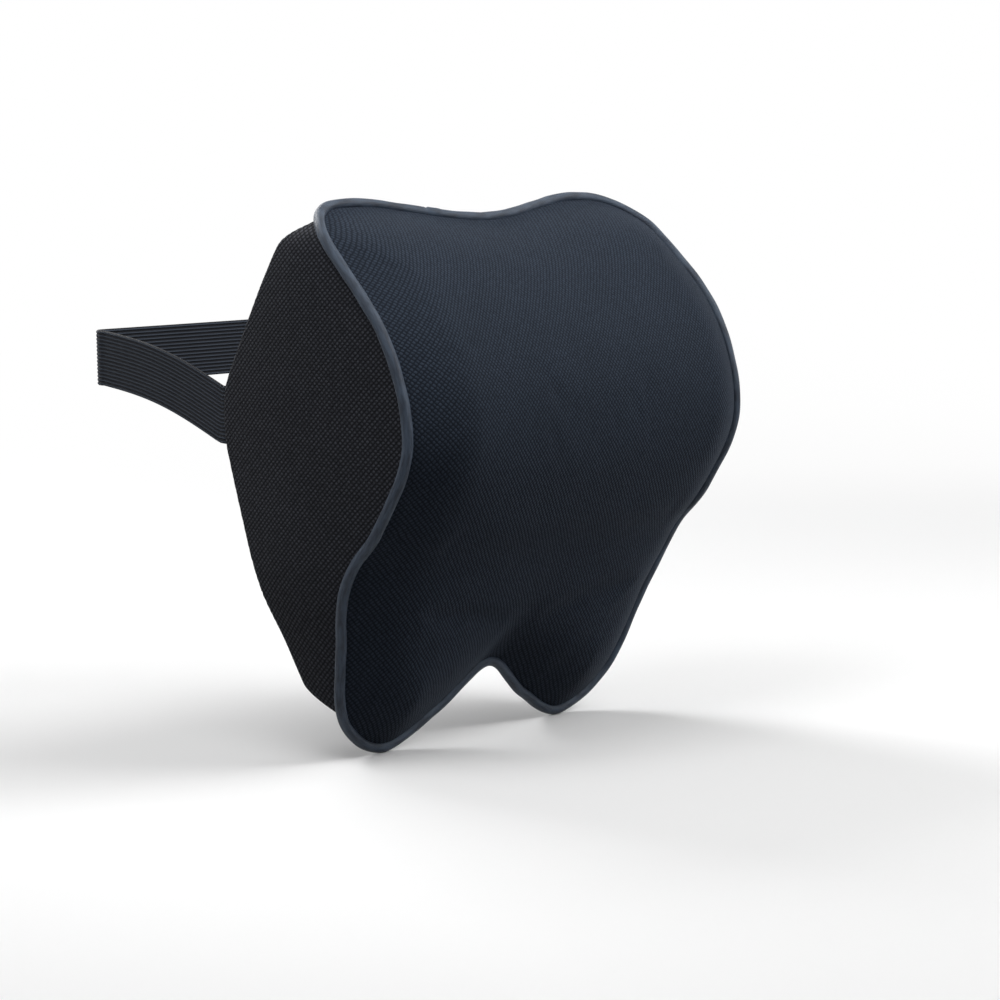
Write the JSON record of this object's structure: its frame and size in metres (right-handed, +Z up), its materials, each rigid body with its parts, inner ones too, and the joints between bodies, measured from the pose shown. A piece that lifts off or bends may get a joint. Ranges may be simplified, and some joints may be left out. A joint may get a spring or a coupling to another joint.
{
  "type": "car headrest neck cushion",
  "caption": "Wedge-shaped memory foam neck cushion with a padded front, piped edge, mesh sides, zipped cover and an elastic strap loop behind.",
  "frame": {"origin": "on the cushion's back, in the middle of the flat strip between the two slanting back faces, level with the strap", "axes": "the padded front faces -Y, +Y points out of the back, +Z is up, and x = 0 is the mirror plane"},
  "size_m": [0.2582, 0.2667, 0.2642],
  "materials": {
    "foam": "open-cell memory foam",
    "front_knit": "fine navy-black knit with small brick-like bumps",
    "side_mesh": "coarser black spacer mesh with dots on diagonal rows",
    "piping_satin": "smooth slate-blue covered cord",
    "strap_elastic": "black elastic webbing with fine lengthwise ribs",
    "zip_tape": "woven black zip tape",
    "zip_coil": "black nylon coil",
    "zip_metal": "dark gunmetal"
  },
  "bodies": {
    "cushion": {"foam_core": "foam", "front_panel": "front_knit", "side_panel_left": "side_mesh", "side_panel_right": "side_mesh", "back_panel_upper": "side_mesh", "back_panel_lower": "side_mesh", "front_piping": "piping_satin", "elastic_strap": "strap_elastic", "zip_tape_upper": "zip_tape", "zip_tape_lower": "zip_tape", "zip_coil_upper": "zip_coil", "zip_coil_lower": "zip_coil", "zip_stop_closed": "zip_metal", "zip_stop_open": "zip_metal"},
    "slider": {"zip_slider": "zip_metal"},
    "pull": {"zip_pull": "zip_metal"}
  },
  "joints": [
    {"name": "zip_slide", "type": "slide", "parent": "cushion", "child": "slider", "axis": [1, 0, 0], "range_m": [0, 0.1634]},
    {"name": "pull_hinge", "type": "hinge", "parent": "slider", "child": "pull", "pos_m": [-0.0817, -0.02324, -0.08565], "axis": [0, 0.3256, 0.9455], "range_deg": [0, 180]}
  ]
}
